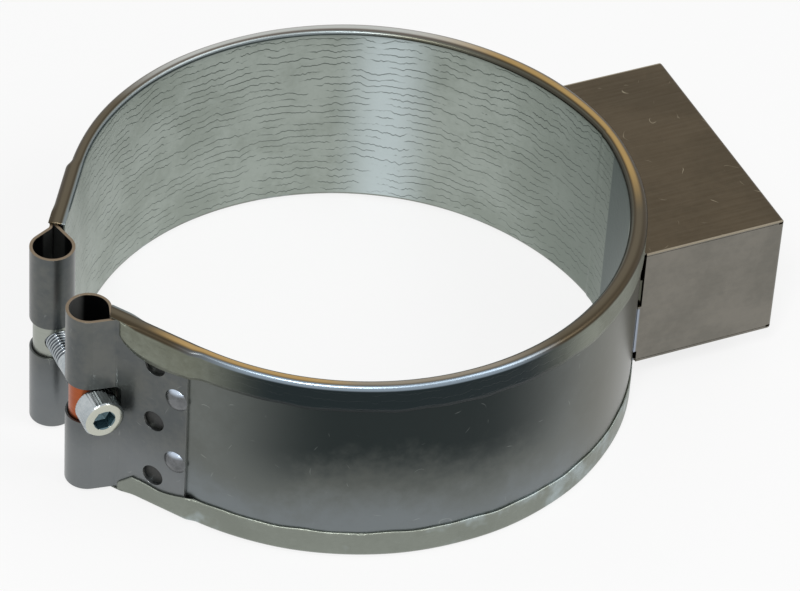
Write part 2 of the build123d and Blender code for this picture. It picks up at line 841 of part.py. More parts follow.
# Clamp screw: its head bears on the head's barrel nut
screw_seat = head_centre - screw_line * loop_radius + Vector(0, 0, mid_height)
with BuildPart() as clamp_screw:
    with BuildSketch(Plane(origin=screw_seat, z_dir=screw_line)):
        Circle(screw_radius)
    extrude(amount=screw_length)
    tip = clamp_screw.faces().sort_by_distance(screw_seat)[-1]
    chamfer(tip.edges(), length=screw_tip_edge)
    with BuildSketch(Plane(origin=screw_seat, z_dir=-screw_line)):
        Circle(screw_head_radius)
    extrude(amount=screw_head_height)
    crown = clamp_screw.faces().filter_by(GeomType.PLANE).sort_by(Axis(screw_seat, -screw_line))[-1]
    chamfer(crown.edges(), length=screw_head_edge)
    with BuildSketch(Plane(origin=screw_seat - screw_line * screw_head_height, z_dir=screw_line)):
        RegularPolygon(hex_width / 2, 6, major_radius=False)
    extrude(amount=hex_depth, mode=Mode.SUBTRACT)
save(clamp_screw, "clamp_screw")

# Terminal box: a folded tray, open towards the band, with butt seams along the
# end walls' edges and a tab on each end wall turned under the sheath's bridge
tab_near = cover_radius - sheath_thickness / 2
tab_far = bridge_top_radius - sheath_thickness - tab_clearance
seam_end = box_face - box_bend_radius
seam_length = seam_end - end_wall_inner
with BuildPart() as terminal_box:
    with BuildSketch(Plane(origin=(box_face, 0, box_mid), x_dir=(0, 1, 0), z_dir=(-1, 0, 0))):
        Rectangle(box_length, box_height)
    extrude(amount=box_face - end_wall_inner + box_bend_radius * 2)
    front = terminal_box.faces().sort_by(Axis.X)[-1]
    fillet(front.edges(), radius=box_bend_radius)
    back = terminal_box.faces().sort_by(Axis.X)[0]
    offset(amount=-box_wall, openings=back)
    with BuildSketch(Plane.XY.offset(box_bottom)):
        with Locations((cover_shift, 0)):
            Circle(cover_radius + box_clearance)
        for side in (1, -1):
            with Locations((end_wall_inner / 2, side * box_half)):
                Rectangle(end_wall_inner, 2 * box_wall)
    extrude(amount=box_height, mode=Mode.SUBTRACT)
    for side in (1, -1):
        wall = Plane(origin=(end_wall_inner, side * box_half, box_mid), x_dir=(1, 0, 0), z_dir=(0, -side, 0))
        with BuildSketch(wall):
            seam_height = box_height / 2 - box_wall - seam_gap / 2
            for height in (seam_height, -seam_height):
                with Locations((seam_length / 2, height)):
                    Rectangle(seam_length, seam_gap)
                with Locations((seam_length, height)):
                    Rectangle(corner_notch, corner_notch / 2)
        extrude(amount=box_wall, mode=Mode.SUBTRACT)
        with BuildSketch(Plane.XY.offset(tab_bottom)):
            with Locations((end_wall_inner, side * (box_half - box_wall / 2))):
                Rectangle(2 * tongue_reach, box_wall)
        extrude(amount=tab_top - tab_bottom)
        add(hook_block(side, tab_near, tab_far, -tab_reach, tab_root, tab_bottom, tab_top))
    gland_hole = Plane(origin=(gland_x, box_half, gland_z), z_dir=(0, 1, 0))
    with BuildSketch(gland_hole):
        Circle(gland_thread_radius + fit_clearance)
    extrude(amount=-box_wall * 2, mode=Mode.SUBTRACT)
save(terminal_box, "terminal_box")


def nut_blank(plane, width, height, hole_radius):
    """A hexagon nut standing on a plane."""
    with BuildPart() as blank:
        with BuildSketch(plane):
            RegularPolygon(width / 2, 6, major_radius=False)
            Circle(hole_radius, mode=Mode.SUBTRACT)
        extrude(amount=height)
    return blank.part


def washer_blank(plane, radius, thickness, hole_radius):
    """A plain washer lying on a plane."""
    with BuildPart() as blank:
        with BuildSketch(plane):
            Circle(radius)
            Circle(hole_radius, mode=Mode.SUBTRACT)
        extrude(amount=thickness)
    return blank.part


# Terminal studs: flat heads on the ribbon's leads, threaded shanks into the box
with BuildPart() as terminal_studs:
    for side in (1, -1):
        seat = head_seat(side)
        with BuildSketch(cover_plane(seat, side * terminal_angle)):
            Circle(stud_head_radius)
        extrude(amount=stud_head_thickness)
        with BuildSketch(cover_plane(seat, side * terminal_angle)):
            Circle(stud_radius)
        extrude(amount=cover_radius + stud_reach - seat)
    ends = terminal_studs.faces().filter_by(GeomType.PLANE).sort_by(Axis.X)[-2:]
    chamfer(ends.edges(), length=stud_edge)
save(terminal_studs, "terminal_studs")

# Ceramic bushes: each stud's collar through the grounded sheath
with BuildPart() as terminal_bushes:
    with BuildSketch(*terminal_planes(cover_radius)):
        Circle(bush_radius)
    extrude(amount=bush_flange)
    with BuildSketch(*terminal_planes(pad_face)):
        Circle(bush_neck_radius)
    extrude(amount=sheath_thickness + bush_flange / 2)
    with BuildSketch(*terminal_planes(pad_face)):
        Circle(stud_radius + fit_clearance)
    extrude(amount=2 * bush_flange, mode=Mode.SUBTRACT)
save(terminal_bushes, "terminal_bushes")

# On each stud: washer and nut that clamp the bush, then washers and a nut
# that wait for the cable's lug
first_washer = cover_radius + bush_flange
first_nut = first_washer + washer_thickness
second_washer = first_nut + nut_height
second_nut = second_washer + washer_thickness
with BuildPart() as terminal_washers:
    for reach in (first_washer, second_washer):
        for plane in terminal_planes(reach):
            add(washer_blank(plane, washer_radius, washer_thickness, stud_radius + fit_clearance))
save(terminal_washers, "terminal_washers")
with BuildPart() as terminal_nuts:
    for reach in (first_nut, second_nut):
        for plane in terminal_planes(reach):
            add(nut_blank(plane, nut_width, nut_height, stud_radius))
save(terminal_nuts, "terminal_nuts")

# Earth stud, set in the sheath beside the terminals, with its washer and nut
earth_foot = pad_face - earth_collar
with BuildPart() as earth_stud:
    with BuildSketch(cover_plane(earth_foot, earth_angle)):
        Circle(earth_collar_radius)
    extrude(amount=earth_collar - fit_clearance)
    with BuildSketch(cover_plane(earth_foot, earth_angle)):
        Circle(earth_radius)
    extrude(amount=earth_collar + sheath_thickness + earth_reach)
    end = earth_stud.faces().filter_by(GeomType.PLANE).sort_by(Axis.X)[-1]
    chamfer(end.edges(), length=stud_edge)
save(earth_stud, "earth_stud")
with BuildPart() as earth_washer:
    plane = cover_plane(cover_radius, earth_angle)
    add(washer_blank(plane, earth_washer_radius, earth_washer_thickness, earth_radius + fit_clearance))
save(earth_washer, "earth_washer")
with BuildPart() as earth_nut:
    plane = cover_plane(cover_radius + earth_washer_thickness, earth_angle)
    add(nut_blank(plane, earth_nut_width, earth_nut_height, earth_radius))
save(earth_nut, "earth_nut")

# Cable gland in the far end wall: body with its thread through the wall, a
# lock nut inside the box and a cap outside
with BuildPart() as gland_body:
    with BuildSketch(gland_hole):
        RegularPolygon(gland_hex_width / 2, 6, major_radius=False)
    extrude(amount=gland_hex_height)
    with BuildSketch(gland_hole):
        Circle(gland_thread_radius)
    extrude(amount=-gland_thread_inside)
    with BuildSketch(gland_hole.offset(-gland_thread_inside)):
        Circle(cable_radius)
    extrude(amount=gland_thread_inside + gland_hex_height, mode=Mode.SUBTRACT)
save(gland_body, "gland_body")
with BuildPart() as gland_cap:
    with BuildSketch(gland_hole.offset(gland_hex_height)):
        Circle(gland_cap_radius)
    extrude(amount=gland_cap_height)
    rim = gland_cap.faces().sort_by(Axis.Y)[-1]
    chamfer(rim.edges(), length=gland_cap_height / 4)
    with BuildSketch(gland_hole.offset(gland_hex_height)):
        Circle(cable_radius)
    extrude(amount=gland_cap_height, mode=Mode.SUBTRACT)
save(gland_cap, "gland_cap")
with BuildPart() as gland_lock_nut:
    inside = Plane(origin=(gland_x, box_half - box_wall, gland_z), z_dir=(0, -1, 0))
    add(nut_blank(inside, lock_nut_width, lock_nut_height, gland_thread_radius))
save(gland_lock_nut, "gland_lock_nut")
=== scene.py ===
import math

import bmesh
import bpy
import numpy as np
from mathutils import Matrix, Vector


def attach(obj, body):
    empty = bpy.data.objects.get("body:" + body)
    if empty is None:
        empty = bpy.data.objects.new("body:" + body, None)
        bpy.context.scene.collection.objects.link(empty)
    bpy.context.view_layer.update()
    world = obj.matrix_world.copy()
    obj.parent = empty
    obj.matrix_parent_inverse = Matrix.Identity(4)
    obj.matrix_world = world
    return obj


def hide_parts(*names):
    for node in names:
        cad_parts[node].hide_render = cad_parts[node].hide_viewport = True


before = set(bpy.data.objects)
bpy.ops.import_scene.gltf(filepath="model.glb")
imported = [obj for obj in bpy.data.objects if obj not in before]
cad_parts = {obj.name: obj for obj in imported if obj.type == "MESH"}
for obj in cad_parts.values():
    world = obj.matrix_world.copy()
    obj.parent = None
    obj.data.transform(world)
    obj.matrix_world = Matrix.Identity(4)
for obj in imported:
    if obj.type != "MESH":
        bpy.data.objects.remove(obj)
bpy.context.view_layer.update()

# The studio: a camera above the near side that looks down on the clamped gap,
# a plain pale floor, soft lamps and an even white surround.
camera_data = bpy.data.cameras.new("camera")
camera_data.lens = 207.69
camera_data.sensor_width = 36.0
camera_data.clip_start = 0.05
camera_data.clip_end = 50.0
camera = bpy.data.objects.new("camera", camera_data)
bpy.context.scene.collection.objects.link(camera)
turn, tilt, roll = math.radians(26.45), math.radians(40.07), math.radians(3.85)
look = Vector((math.sin(turn) * math.cos(tilt), math.cos(turn) * math.cos(tilt), -math.sin(tilt)))
level = Vector((math.cos(turn), -math.sin(turn), 0.0))
raised = level.cross(look)
right = math.cos(roll) * level + math.sin(roll) * raised
upward = -math.sin(roll) * level + math.cos(roll) * raised
slide_right, slide_up, stand_off = 0.01737, 0.02180, 1.4663
place = slide_right * right + slide_up * upward - stand_off * look
camera.matrix_world = Matrix((
    (right.x, upward.x, -look.x, place.x),
    (right.y, upward.y, -look.y, place.y),
    (right.z, upward.z, -look.z, place.z),
    (0.0, 0.0, 0.0, 1.0),
))
bpy.context.scene.camera = camera
bpy.context.scene.view_settings.view_transform = "Standard"


def put(tree, kind, sockets=(), **settings):
    """Adds one node to a tree; each socket is given a value, or another node's output."""
    new = tree.nodes.new(kind)
    for key, value in settings.items():
        setattr(new, key, value)
    for socket, value in dict(sockets).items():
        if isinstance(value, bpy.types.NodeSocket):
            tree.links.new(value, new.inputs[socket])
        else:
            new.inputs[socket].default_value = value
    return new


def work_out(tree, operation, first, second=0.0, third=0.0, clamp=False):
    """One Math node, and its result."""
    given = {0: first, 1: second, 2: third}
    return put(tree, "ShaderNodeMath", given, operation=operation, use_clamp=clamp).outputs[0]


def seen_share(tree, share):
    """How white a background is: only for the camera, and for what metal or glass shows."""
    ray = put(tree, "ShaderNodeLightPath").outputs
    either = work_out(tree, "MAXIMUM", ray["Is Camera Ray"], ray["Is Glossy Ray"])
    either = work_out(tree, "MAXIMUM", either, ray["Is Transmission Ray"])
    return work_out(tree, "MULTIPLY", either, share)


floor_half, floor_level = 3.0, -0.0002
paper_white, floor_seen_white = 0.8, 0.8
surround_light = 0.5
floor_mesh = bpy.data.meshes.new("floor")
floor_mesh.from_pydata(
    [(x * floor_half, y * floor_half, floor_level) for x, y in ((-1, -1), (1, -1), (1, 1), (-1, 1))],
    [], [(0, 1, 2, 3)])
floor = bpy.data.objects.new("floor", floor_mesh)
bpy.context.scene.collection.objects.link(floor)
floor_paint = bpy.data.materials.new("floor_paint")
floor_paint.use_nodes = True
tree = floor_paint.node_tree
paper = tree.nodes["Principled BSDF"]
paper.inputs["Base Color"].default_value = (paper_white, paper_white, paper_white, 1)
paper.inputs["Roughness"].default_value = 0.9
glow = put(tree, "ShaderNodeEmission", {"Color": (1, 1, 1, 1)})
both = put(tree, "ShaderNodeMixShader", {
    0: seen_share(tree, floor_seen_white), 1: paper.outputs[0], 2: glow.outputs[0]})
tree.links.new(both.outputs[0], tree.nodes["Material Output"].inputs["Surface"])
floor_mesh.materials.append(floor_paint)

world = bpy.data.worlds.new("surround")
bpy.context.scene.world = world
world.use_nodes = True
tree = world.node_tree
surround = tree.nodes["Background"]
surround.inputs["Color"].default_value = (1, 1, 1, 1)
surround.inputs["Strength"].default_value = surround_light
white = put(tree, "ShaderNodeBackground", {"Color": (1, 1, 1, 1), "Strength": 1.0})
both = put(tree, "ShaderNodeMixShader", {
    0: seen_share(tree, 1.0), 1: surround.outputs[0], 2: white.outputs[0]})
tree.links.new(both.outputs[0], tree.nodes["World Output"].inputs["Surface"])


aim_height = 0.03


def lamp(name, size, watts, compass, lift, far):
    """A square soft lamp that points at the band, from its angle in plan, its lift and its distance."""
    light = bpy.data.lights.new(name, "AREA")
    light.size = size
    light.energy = watts
    holder = bpy.data.objects.new(name, light)
    bpy.context.scene.collection.objects.link(holder)
    compass, lift = math.radians(compass), math.radians(lift)
    holder.location = far * Vector((
        math.cos(compass) * math.cos(lift), math.sin(compass) * math.cos(lift), math.sin(lift)))
    aim = Vector((0.0, 0.0, aim_height)) - holder.location
    holder.rotation_mode = "QUATERNION"
    holder.rotation_quaternion = aim.to_track_quat("-Z", "Y")


lamp("key", size=0.55, watts=26.0, compass=235.6, lift=50.0, far=2.4)
lamp("side", size=1.0, watts=14.0, compass=320.0, lift=42.0, far=2.2)

# Inner sheath: one strip of thin galvanised steel that lines the bore. Both its long
# edges are rolled outwards in a full round and folded flat over the other layers as
# hems, which climb over the straps and are mitred towards the clamped gap.
mm = 0.001
full_turn = 360.0
same_place = 1e-6
# Sizes in millimetres and degrees. A place near the gap counts from the end of the
# round towards the gap, so it is negative on the round
bore = 85.0
band_height = 68.4
sheet = 0.6
hem_out = 4.2
box_shift = 1.7
strap_lift, lift_from, lift_to = 1.05, -2.5, 1.5
bead_half, pressed_half = 1.8, 0.4
press_from, press_to = 19.0, 25.5
not_near = -400.0
past_bead = 0.999
ridge_at, ridge_span, ridge_rise = 2.0, 35.0, 1.4
head = {"angle": 214.2, "turn": -1, "bore_end": 32.07, "rim_end": 29.4, "hem_end": 25.9}
nut = {"angle": 148.4, "turn": 1, "bore_end": 30.4, "rim_end": 30.4, "hem_end": 28.8}
bottom_edge = ((-9.0, 9.7), (-3.0, 9.7), (1.0, 9.6), (5.5, 8.3), (10.5, 7.4), (16.0, 7.9), (20.8, 8.0))
top_edge = ((-9.0, 9.7), (-3.0, 10.2), (4.0, 11.1), (10.5, 11.8), (17.0, 11.3), (21.5, 9.8), (24.3, 8.0))
bottom_mitre, top_mitre = 29.5, 29.9
# Waves round the band, each a depth, a count in a full turn and a lead
edge_waves = ((0.16, 23, 0), (0.12, 41, 70))
wave_fade = 9.0
hem_ripples = ((0.05, 7, 0), (0.04, 17, 40))
# Ripples only go in from the hems' circle
ripple_depth = sum(depth for depth, count, lead in hem_ripples)


def eased(value, low, high):
    """Runs from 0 at low to 1 at high: three times the square less twice the cube."""
    share = np.clip((value - low) / (high - low), 0.0, 1.0)
    return share * share * (3.0 - 2.0 * share)


def through(points, value):
    """A smooth line through a few points: cubic spans that share their slopes."""
    x, y = np.array(points).T
    slope = np.gradient(y, x)
    span = np.clip(np.searchsorted(x, value) - 1, 0, len(x) - 2)
    width = x[span + 1] - x[span]
    t = np.clip((value - x[span]) / width, 0.0, 1.0)
    level = y[span] * (1 + 2 * t) * (1 - t) ** 2 + y[span + 1] * t * t * (3 - 2 * t)
    return level + width * t * (1 - t) * (slope[span] * (1 - t) - slope[span + 1] * t)


def unit(angle):
    """Unit vectors in plan for angles in degrees, along a last axis of two."""
    return np.stack([np.cos(np.radians(angle)), np.sin(np.radians(angle))], axis=-1)


def waves(angle, parts):
    """A sum of sine waves round the band."""
    return sum(depth * np.sin(np.radians(angle * count + lead)) for depth, count, lead in parts)


def bore_radius(angle):
    """The round wall, drawn out behind the box by two arcs that meet in a faint upright ridge."""
    spread = np.radians(ridge_span - np.sign(angle - ridge_at) * ridge_at)
    ridge = bore + ridge_rise
    centre = (ridge ** 2 - bore ** 2) / (2 * (ridge * np.cos(spread) - bore))
    away = np.radians(np.maximum(ridge_span - np.abs(angle), 0.0))
    drawn = centre * np.cos(away) + np.sqrt((bore - centre) ** 2 - (centre * np.sin(away)) ** 2)
    return np.where(np.abs(angle) < ridge_span, drawn, bore)


def hem_fall(points, mitre_end, near, angle):
    """How far a hem reaches from its rim: its wavy free edge, cut off by the mitre near the gap."""
    edge = through(points, near) + waves(angle, edge_waves) * eased(-near, 0.0, wave_fade)
    last_along, last_height = points[-1]
    mitre = last_height * (mitre_end - near) / (mitre_end - last_along)
    return np.minimum(edge, mitre)


# Places along the band, from the head's end to the nut's: shares of the flat
# end's length, angles on the round, then shares of the other flat end
flat_steps, round_steps = 45, 560
on_round, on_head_flat, on_nut_flat = 0, 1, 2
nut_angle = full_turn + nut["angle"]
flat_shares = np.linspace(0.0, 1.0, flat_steps + 1)[1:]
round_angles = np.linspace(head["angle"], nut_angle, round_steps)
on_flat = np.concatenate([flat_shares[::-1], np.zeros(round_steps), flat_shares])
zone = np.repeat((on_head_flat, on_round, on_nut_flat), (flat_steps, round_steps, flat_steps))
station = np.concatenate([
    np.full(flat_steps, head["angle"]), round_angles, np.full(flat_steps, nut_angle)])
# Rows round the section: bottom hem 0 to 1, its bead to 2, the bore wall to 3,
# the top bead to 4, and the top hem to 5
section_steps = (6, 16, 18, 16, 6)
last_row = len(section_steps)
rows = np.concatenate([
    np.linspace(part, part + 1, steps, endpoint=False)
    for part, steps in enumerate(section_steps)] + [[last_row]])


def liner_skin(inset):
    """One skin of the sheath, set in from its visible face: the section's rows, placed out from
    the bore wall and up from the rim, and carried along the band station by station."""
    wrapped = (station + full_turn / 2) % full_turn - full_turn / 2
    angle = np.repeat(wrapped[:, None], len(rows), axis=1)
    kind = zone[:, None]
    across = np.clip(2.0 - rows, 0.0, 1.0) + np.clip(rows - 3.0, 0.0, 1.0)
    out_share = 0.5 * (1.0 - np.cos(np.pi * across))
    near = np.full(angle.shape, not_near)
    along = np.zeros(angle.shape)
    for index, end in ((on_head_flat, head), (on_nut_flat, nut)):
        reach = end["bore_end"] + (end["rim_end"] - end["bore_end"]) * out_share
        reach = np.where(across > past_bead, end["hem_end"], reach)
        run = on_flat[:, None] * reach[None, :]
        end_angle = nut_angle if index == on_nut_flat else head["angle"]
        behind = -bore * np.radians(np.abs(station - end_angle))[:, None]
        near = np.where(kind == on_round, np.maximum(near, behind), near)
        near = np.where(kind == index, run, near)
        along = np.where(kind == index, run, along)
    radius = np.where(kind == on_round, bore_radius(angle), bore)
    hem_circle = bore + hem_out + box_shift * np.maximum(np.cos(np.radians(angle)), 0.0)
    ripple = (waves(angle, hem_ripples) - ripple_depth) * (kind == on_round)
    depth = hem_circle - radius + strap_lift * eased(near, lift_from, lift_to) + ripple
    half = bead_half + (pressed_half - bead_half) * eased(near, press_from, press_to)
    inner_half = np.maximum(half - inset, 0.0)
    out = inset + (depth - 2 * inset) * out_share
    bead = np.where(across > 0, 1.0 - np.sin(np.pi * across), 1.0)
    from_rim = inset + inner_half * bead
    start = inset + inner_half
    low_fall = hem_fall(bottom_edge, bottom_mitre, near, angle) - start
    high_fall = hem_fall(top_edge, top_mitre, near, angle) - start
    low = start + low_fall * np.clip(1.0 - rows, 0.0, 1.0)
    high = start + high_fall * np.clip(rows - 4.0, 0.0, 1.0)
    wall = np.clip(rows - 2.0, 0.0, 1.0)
    up = np.where(rows < 1.0, low, from_rim)
    up = np.where((rows >= 2.0) & (rows <= 3.0), start + (band_height - 2 * start) * wall, up)
    up = np.where(rows > 3.0, band_height - from_rim, up)
    up = np.where(rows > 4.0, band_height - high, up)
    place = np.empty(angle.shape + (3,))
    place[..., :2] = unit(angle) * (radius + out)[..., None]
    for index, end in ((on_head_flat, head), (on_nut_flat, nut)):
        towards_gap = unit(end["angle"] + 90.0 * end["turn"])
        place[..., :2] += np.where(kind == index, along, 0.0)[..., None] * towards_gap
    place[..., 2] = up
    return place * mm


def finish_mesh(name, places, quads, marks=None):
    """A mesh from arrays of places and quads, with smooth faces and an optional map on them."""
    mesh = bpy.data.meshes.new(name)
    mesh.vertices.add(len(places))
    mesh.vertices.foreach_set("co", places.ravel())
    mesh.loops.add(quads.size)
    mesh.loops.foreach_set("vertex_index", quads.ravel())
    mesh.polygons.add(len(quads))
    mesh.polygons.foreach_set("loop_start", np.arange(0, quads.size, 4))
    mesh.polygons.foreach_set("use_smooth", np.ones(len(quads), bool))
    if marks is not None:
        chart = mesh.uv_layers.new(name="strip")
        chart.uv.foreach_set("vector", marks[quads.ravel()].ravel())
    mesh.update(calc_edges=True)
    shape = bmesh.new()
    shape.from_mesh(mesh)
    bmesh.ops.remove_doubles(shape, verts=shape.verts, dist=same_place)
    bmesh.ops.recalc_face_normals(shape, faces=shape.faces)
    shape.to_mesh(mesh)
    shape.free()
    piece = bpy.data.objects.new(name, mesh)
    bpy.context.scene.collection.objects.link(piece)
    return piece


def skin_quads(shape, wrapped=False):
    """Index quads of a grid of rows by columns, joined round on itself across if wrapped."""
    grid = np.arange(math.prod(shape)).reshape(shape)
    if wrapped:
        grid = np.concatenate([grid, grid[:, :1]], axis=1)
    corners = [grid[:-1, :-1], grid[1:, :-1], grid[1:, 1:], grid[:-1, 1:]]
    return np.stack(corners, axis=-1).reshape(-1, 4)


def thick_sheet(name, face, back, chart):
    """Two skins of one sheet, closed along its four edges."""
    count, width = face.shape[:2]
    total = count * width
    grid = np.arange(total).reshape(count, width)
    border = np.concatenate([grid[0, :-1], grid[:-1, -1], grid[-1, :0:-1], grid[:0:-1, 0]])
    after = np.roll(border, -1)
    edges = np.stack([border, after, after + total, border + total], axis=-1)
    front = skin_quads((count, width))
    quads = np.concatenate([front, front[:, ::-1] + total, edges])
    places = np.concatenate([face.reshape(-1, 3), back.reshape(-1, 3)])
    marks = np.concatenate([chart.reshape(-1, 2)] * 2)
    return finish_mesh(name, places, quads, marks)


# The map on the sheet: along the band from the head's end of the round, and the rows
head_flat_run, nut_flat_run = 32.0, 30.0
chart_run = 100.0
round_run = bore * np.radians(round_angles - head["angle"])
run_along = np.concatenate([
    -head_flat_run * flat_shares[::-1], round_run, round_run[-1] + nut_flat_run * flat_shares])
chart = np.stack(np.meshgrid(run_along / chart_run, rows / last_row, indexing="ij"), axis=-1)
liner = thick_sheet("bore_lining", liner_skin(0.0), liner_skin(sheet), chart)


def colour(red, green, blue):
    """A shader colour from a screen colour between 0 and 255: the usual screen curve undone."""
    share = np.array((red, green, blue)) / 255.0
    linear = np.where(share < 0.04045, share / 12.92, ((share + 0.055) / 1.055) ** 2.4)
    return (*(float(part) for part in linear), 1.0)


def blend(tree, share, first, second):
    """Mixes two colours by a share between 0 and 1."""
    given = {0: share, 6: first, 7: second}
    return put(tree, "ShaderNodeMix", given, data_type="RGBA", clamp_factor=True).outputs[2]


def between(tree, value, low, high):
    """A soft mask that runs from 0 where a value is low to 1 where it is high."""
    made = put(tree, "ShaderNodeMapRange", {"Value": value, "From Min": low, "From Max": high},
               interpolation_type="SMOOTHSTEP")
    return made.outputs[0]


def effect(name, inputs, outputs, build):
    """A shader node group with named inputs and outputs, filled in by one function."""
    group = bpy.data.node_groups.new(name, "ShaderNodeTree")
    for label, kind, value in inputs:
        socket = group.interface.new_socket(name=label, in_out="INPUT", socket_type=kind)
        if value is not None:
            socket.default_value = value
    for label, kind in outputs:
        group.interface.new_socket(name=label, in_out="OUTPUT", socket_type=kind)
    given = group.nodes.new("NodeGroupInput").outputs
    result = group.nodes.new("NodeGroupOutput")
    for label, value in build(group, given).items():
        group.links.new(value, result.inputs[label])
    return group


def use(tree, group, **sockets):
    """Places an effect in a material, with its own values."""
    return put(tree, "ShaderNodeGroup", sockets, node_tree=group).outputs


def noise(tree, place, scale, detail, roughness=0.5):
    """A noise texture's value."""
    return put(tree, "ShaderNodeTexNoise", {
        "Vector": place, "Scale": scale, "Detail": detail, "Roughness": roughness}).outputs[0]


def vector_work(tree, operation, first, second=(0.0, 0.0, 0.0)):
    """One Vector Math node, and its results."""
    return put(tree, "ShaderNodeVectorMath", {0: first, 1: second}, operation=operation).outputs


def split(tree, value):
    """The three parts of a vector."""
    return put(tree, "ShaderNodeSeparateXYZ", {0: value}).outputs


def build_mottle(group, given):
    """Cloudy patches and fine grain, added up: broad noise plus a share of fine noise."""
    broad = noise(group, given["Vector"], given["Scale"], 3.0, 0.55)
    fine_scale = work_out(group, "MULTIPLY", given["Scale"], 9.0)
    fine = noise(group, given["Vector"], fine_scale, 2.0, 0.6)
    cloudy = work_out(group, "ADD", broad, work_out(group, "MULTIPLY_ADD", fine, 0.35, -0.175))
    return {"Patches": between(group, cloudy, 0.3, 0.7), "Grain": fine}


mottle = effect(
    "mottled_zinc", [("Vector", "NodeSocketVector", None), ("Scale", "NodeSocketFloat", 60.0)],
    [("Patches", "NodeSocketFloat"), ("Grain", "NodeSocketFloat")], build_mottle)


def build_scratches(group, given):
    """Short thin scratches: a thin band of one noise, kept where a second noise is high."""
    lines = noise(group, given["Vector"], given["Scale"], 0.0)
    off = work_out(group, "ABSOLUTE", work_out(group, "SUBTRACT", lines, 0.5))
    thin = between(group, off, 0.012, 0.002)
    second_scale = work_out(group, "MULTIPLY", given["Scale"], 1.7)
    kept = between(group, noise(group, given["Vector"], second_scale, 0.0), given["Rare"], 0.9)
    return {"Scratches": work_out(group, "MULTIPLY", thin, kept, clamp=True)}


scratches = effect(
    "scratches", [("Vector", "NodeSocketVector", None), ("Scale", "NodeSocketFloat", 40.0),
                  ("Rare", "NodeSocketFloat", 0.6)],
    [("Scratches", "NodeSocketFloat")], build_scratches)

# How finely each noise of the cracks changes along and up the strip
wander_grain, jag_grain, break_grain = (0.045, 0.016, 1.0), (0.36, 0.06, 1.0), (0.07, 0.35, 1.0)
wander_reach, jag_reach = 3.6, 1.0


def build_crazing(group, given):
    """Fine cracks in the zinc that run round the bore: level lines at an even spacing, pushed up
    and down by stretched noise and broken off where another noise is low."""
    strip = given["Strip"]
    wander = noise(group, vector_work(group, "MULTIPLY", strip, wander_grain)[0], 1.0, 3.0, 0.62)
    jag = noise(group, vector_work(group, "MULTIPLY", strip, jag_grain)[0], 1.0, 2.0, 0.7)
    broken = noise(group, vector_work(group, "MULTIPLY", strip, break_grain)[0], 1.0, 2.0, 0.6)
    lines = work_out(group, "DIVIDE", split(group, strip)[1], given["Spacing"])
    lines = work_out(group, "MULTIPLY_ADD", wander, wander_reach, lines)
    lines = work_out(group, "MULTIPLY_ADD", jag, jag_reach, lines)
    off = work_out(group, "ABSOLUTE", work_out(group, "SUBTRACT", work_out(group, "FRACT", lines), 0.5))
    thin = between(group, off, given["Width"], 0.0)
    kept = between(group, broken, 0.4, 0.53)
    return {"Cracks": work_out(group, "MULTIPLY", thin, kept, clamp=True)}


crazing = effect(
    "crazed_zinc", [("Strip", "NodeSocketVector", None), ("Spacing", "NodeSocketFloat", 2.7),
                    ("Width", "NodeSocketFloat", 0.085)],
    [("Cracks", "NodeSocketFloat")], build_crazing)


def new_paint(name, roughness, metallic=1.0):
    """A material, metal unless told otherwise, with its Principled shader and the object's own
    coordinates."""
    made = bpy.data.materials.new(name)
    made.use_nodes = True
    tree = made.node_tree
    shader = tree.nodes["Principled BSDF"]
    shader.inputs["Metallic"].default_value = metallic
    shader.inputs["Roughness"].default_value = roughness
    where = put(tree, "ShaderNodeTexCoord").outputs["Object"]
    return made, tree, shader, where


def dress(piece, paint):
    """Gives a piece one material."""
    piece.data.materials.clear()
    piece.data.materials.append(paint)


def facing_share(tree, where, angle, low, high, opposite=False):
    """A soft mask round the band: 1 within low degrees of an angle in plan, 0 beyond high degrees,
    and the same on the opposite side if wanted."""
    flat = vector_work(tree, "MULTIPLY", where, (1.0, 1.0, 0.0))[0]
    aim = (math.cos(math.radians(angle)), math.sin(math.radians(angle)), 0.0)
    share = vector_work(tree, "DOT_PRODUCT", vector_work(tree, "NORMALIZE", flat)[0], aim)["Value"]
    if opposite:
        share = work_out(tree, "ABSOLUTE", share)
    return between(tree, share, math.cos(math.radians(high)), math.cos(math.radians(low)))


def all_of(tree, *masks):
    """The product of several masks."""
    made = masks[0]
    for mask in masks[1:]:
        made = work_out(tree, "MULTIPLY", made, mask)
    return made


def within(tree, value, stretch):
    """A soft mask over a stretch, given as where it starts, is full, is still full and ends."""
    start, full, still_full, end = stretch
    return all_of(tree, between(tree, value, start, full), between(tree, value, end, still_full))


def glaze(tree, share, strength, under, over):
    """Lays a colour over another at part of its strength."""
    return blend(tree, work_out(tree, "MULTIPLY", share, strength), under, over)


def lay(tree, shader, finish):
    """Gives a material its colour."""
    tree.links.new(finish, shader.inputs["Base Color"])


def emboss(tree, shader, height, strength, distance):
    """Bump on a material, with the height that 1 stands for in metres."""
    bump = put(tree, "ShaderNodeBump", {"Strength": strength, "Distance": distance, "Height": height})
    tree.links.new(bump.outputs[0], shader.inputs["Normal"])


# Stretches along the band in millimetres, and across the section in rows
behind_box_run = (176.5, 178.5, 208.8, 209.6)
by_box_run = (208.6, 209.4, 216.0, 272.0)
glint_at, glint_core, glint_reach = 303.0, 1.0, 19.0
wall_rows = (1.95, 2.0, 3.2, 3.3)
bead_rows = (2.98, 3.05, 3.95, 4.1)
flank_rows = (2.98, 3.04, 3.2, 3.36)
crown_rows = (3.2, 3.34, 3.86, 4.0)
keel_rows = (3.32, 3.44, 3.54, 3.7)
shoulder_rows = (3.62, 3.72, 3.9, 4.02)
